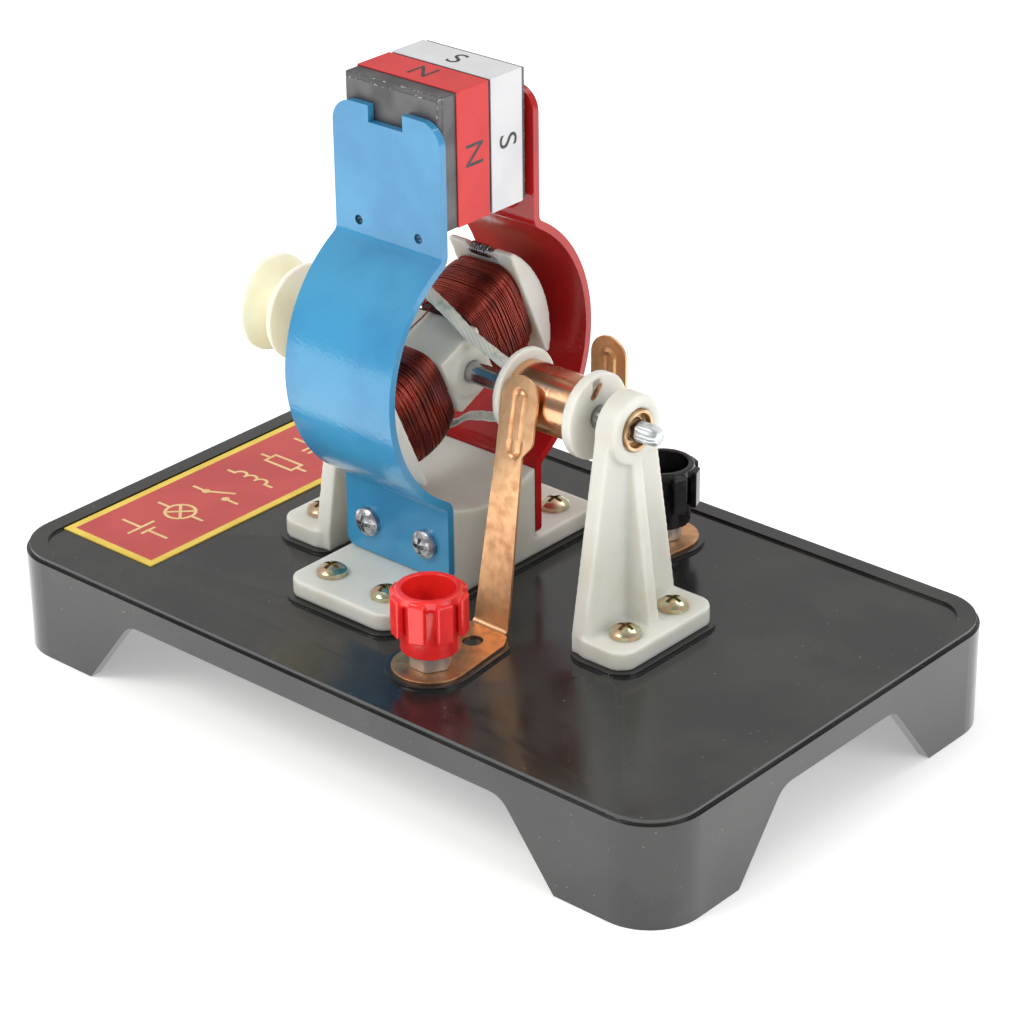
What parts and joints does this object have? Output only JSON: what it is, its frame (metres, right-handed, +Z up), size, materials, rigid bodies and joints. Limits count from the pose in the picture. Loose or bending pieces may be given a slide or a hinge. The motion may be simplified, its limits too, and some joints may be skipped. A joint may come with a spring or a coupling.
{
  "type": "demonstration electric motor",
  "caption": "Open direct-current motor on a moulded base: wound two-pole rotor between coloured pole pieces under block magnets, with commutator, strip brushes and binding posts.",
  "frame": {"origin": "centre of the base's footprint, on the table", "axes": "+X along the shaft towards the commutator end, -Y towards the blue pole, +Z up"},
  "size_m": [0.16, 0.099, 0.1175],
  "materials": {
    "black_moulding": "glossy",
    "label_print": "satin print",
    "white_moulding": "semi-gloss, slightly translucent",
    "zinc_yellow": "yellow passivated zinc",
    "bright_steel": "polished",
    "blue_paint": "gloss",
    "red_paint": "gloss",
    "magnet_grey": "brushed ceramic",
    "red_paper": "satin",
    "white_paper": "satin",
    "copper": "rubbed",
    "bush_brass": "turned",
    "shaft_steel": "ground",
    "core_steel": "dull",
    "wire_enamel": "clear enamel",
    "sleeve_cloth": "varnished weave",
    "binding_wire": "dull",
    "red_plastic": "glossy",
    "black_plastic": "glossy",
    "cream_plastic": "translucent"
  },
  "bodies": {
    "base": {"base_shell": "black_moulding", "deck_label": "label_print", "magnet_stand": "white_moulding", "front_pillar": "white_moulding", "rear_pillar": "white_moulding", "front_bush": "bush_brass", "rear_bush": "bush_brass", "stand_screws": "zinc_yellow", "front_pillar_screws": "zinc_yellow", "rear_pillar_screws": "zinc_yellow", "deck_nuts": "zinc_yellow", "blue_pole_screws": "bright_steel", "red_pole_screws": "bright_steel", "blue_pole": "blue_paint", "red_pole": "red_paint", "front_brush_plate": "copper", "rear_brush_plate": "copper", "red_stud": "bright_steel", "black_stud": "bright_steel", "red_hex_nut": "bright_steel", "black_hex_nut": "bright_steel"},
    "rotor": {"shaft": "shaft_steel", "armature_frame": "white_moulding", "upper_core": "core_steel", "lower_core": "core_steel", "upper_winding_core": "wire_enamel", "lower_winding_core": "wire_enamel", "upper_winding": "wire_enamel", "lower_winding": "wire_enamel", "commutator_sleeve": "white_moulding", "upper_segment": "copper", "lower_segment": "copper", "upper_lead_sleeve": "sleeve_cloth", "lower_lead_sleeve": "sleeve_cloth", "jumper_wire": "wire_enamel", "balance_wire": "binding_wire", "pulley": "cream_plastic"},
    "magnets": {"north_magnet": "magnet_grey", "south_magnet": "magnet_grey", "north_paper": "red_paper", "south_paper": "white_paper"},
    "front_brush": {"front_brush_arm": "copper"},
    "rear_brush": {"rear_brush_arm": "copper"},
    "red_insert": {"red_cap_insert": "bush_brass"},
    "red_terminal_cap": {"red_cap": "red_plastic"},
    "black_insert": {"black_cap_insert": "bush_brass"},
    "black_terminal_cap": {"black_cap": "black_plastic"}
  },
  "joints": [
    {"name": "rotor_spin", "type": "hinge", "parent": "base", "child": "rotor", "pos_m": [0, 0, 0.0615], "axis": [1, 0, 0], "continuous": true},
    {"name": "magnet_lift", "type": "slide", "parent": "base", "child": "magnets", "axis": [0, 0, 1], "range_m": [0, 0.03]},
    {"name": "front_brush_flex", "type": "hinge", "parent": "base", "child": "front_brush", "pos_m": [0.0135, -0.0151, 0.0218], "axis": [1, 0, 0], "range_deg": [0, 12], "stiffness_Nm_per_rad": 0.03},
    {"name": "rear_brush_flex", "type": "hinge", "parent": "base", "child": "rear_brush", "pos_m": [0.0155, 0.0151, 0.0218], "axis": [1, 0, 0], "range_deg": [0, 11.5], "stiffness_Nm_per_rad": 0.03},
    {"name": "red_cap_lift", "type": "slide", "parent": "base", "child": "red_insert", "axis": [0, 0, 1], "range_m": [0, 0.004]},
    {"name": "red_cap_turn", "type": "hinge", "parent": "red_insert", "child": "red_terminal_cap", "pos_m": [0.0145, -0.0324, 0.03], "axis": [0, 0, 1], "range_deg": [0, 2060]},
    {"name": "black_cap_lift", "type": "slide", "parent": "base", "child": "black_insert", "axis": [0, 0, 1], "range_m": [0, 0.004]},
    {"name": "black_cap_turn", "type": "hinge", "parent": "black_insert", "child": "black_terminal_cap", "pos_m": [0.0145, 0.0324, 0.03], "axis": [0, 0, 1], "range_deg": [0, 2060]}
  ],
  "couplings": [
    {"joint": "red_cap_turn", "follows": "red_cap_lift", "rad_per_m": 8976},
    {"joint": "black_cap_turn", "follows": "black_cap_lift", "rad_per_m": 8976}
  ]
}
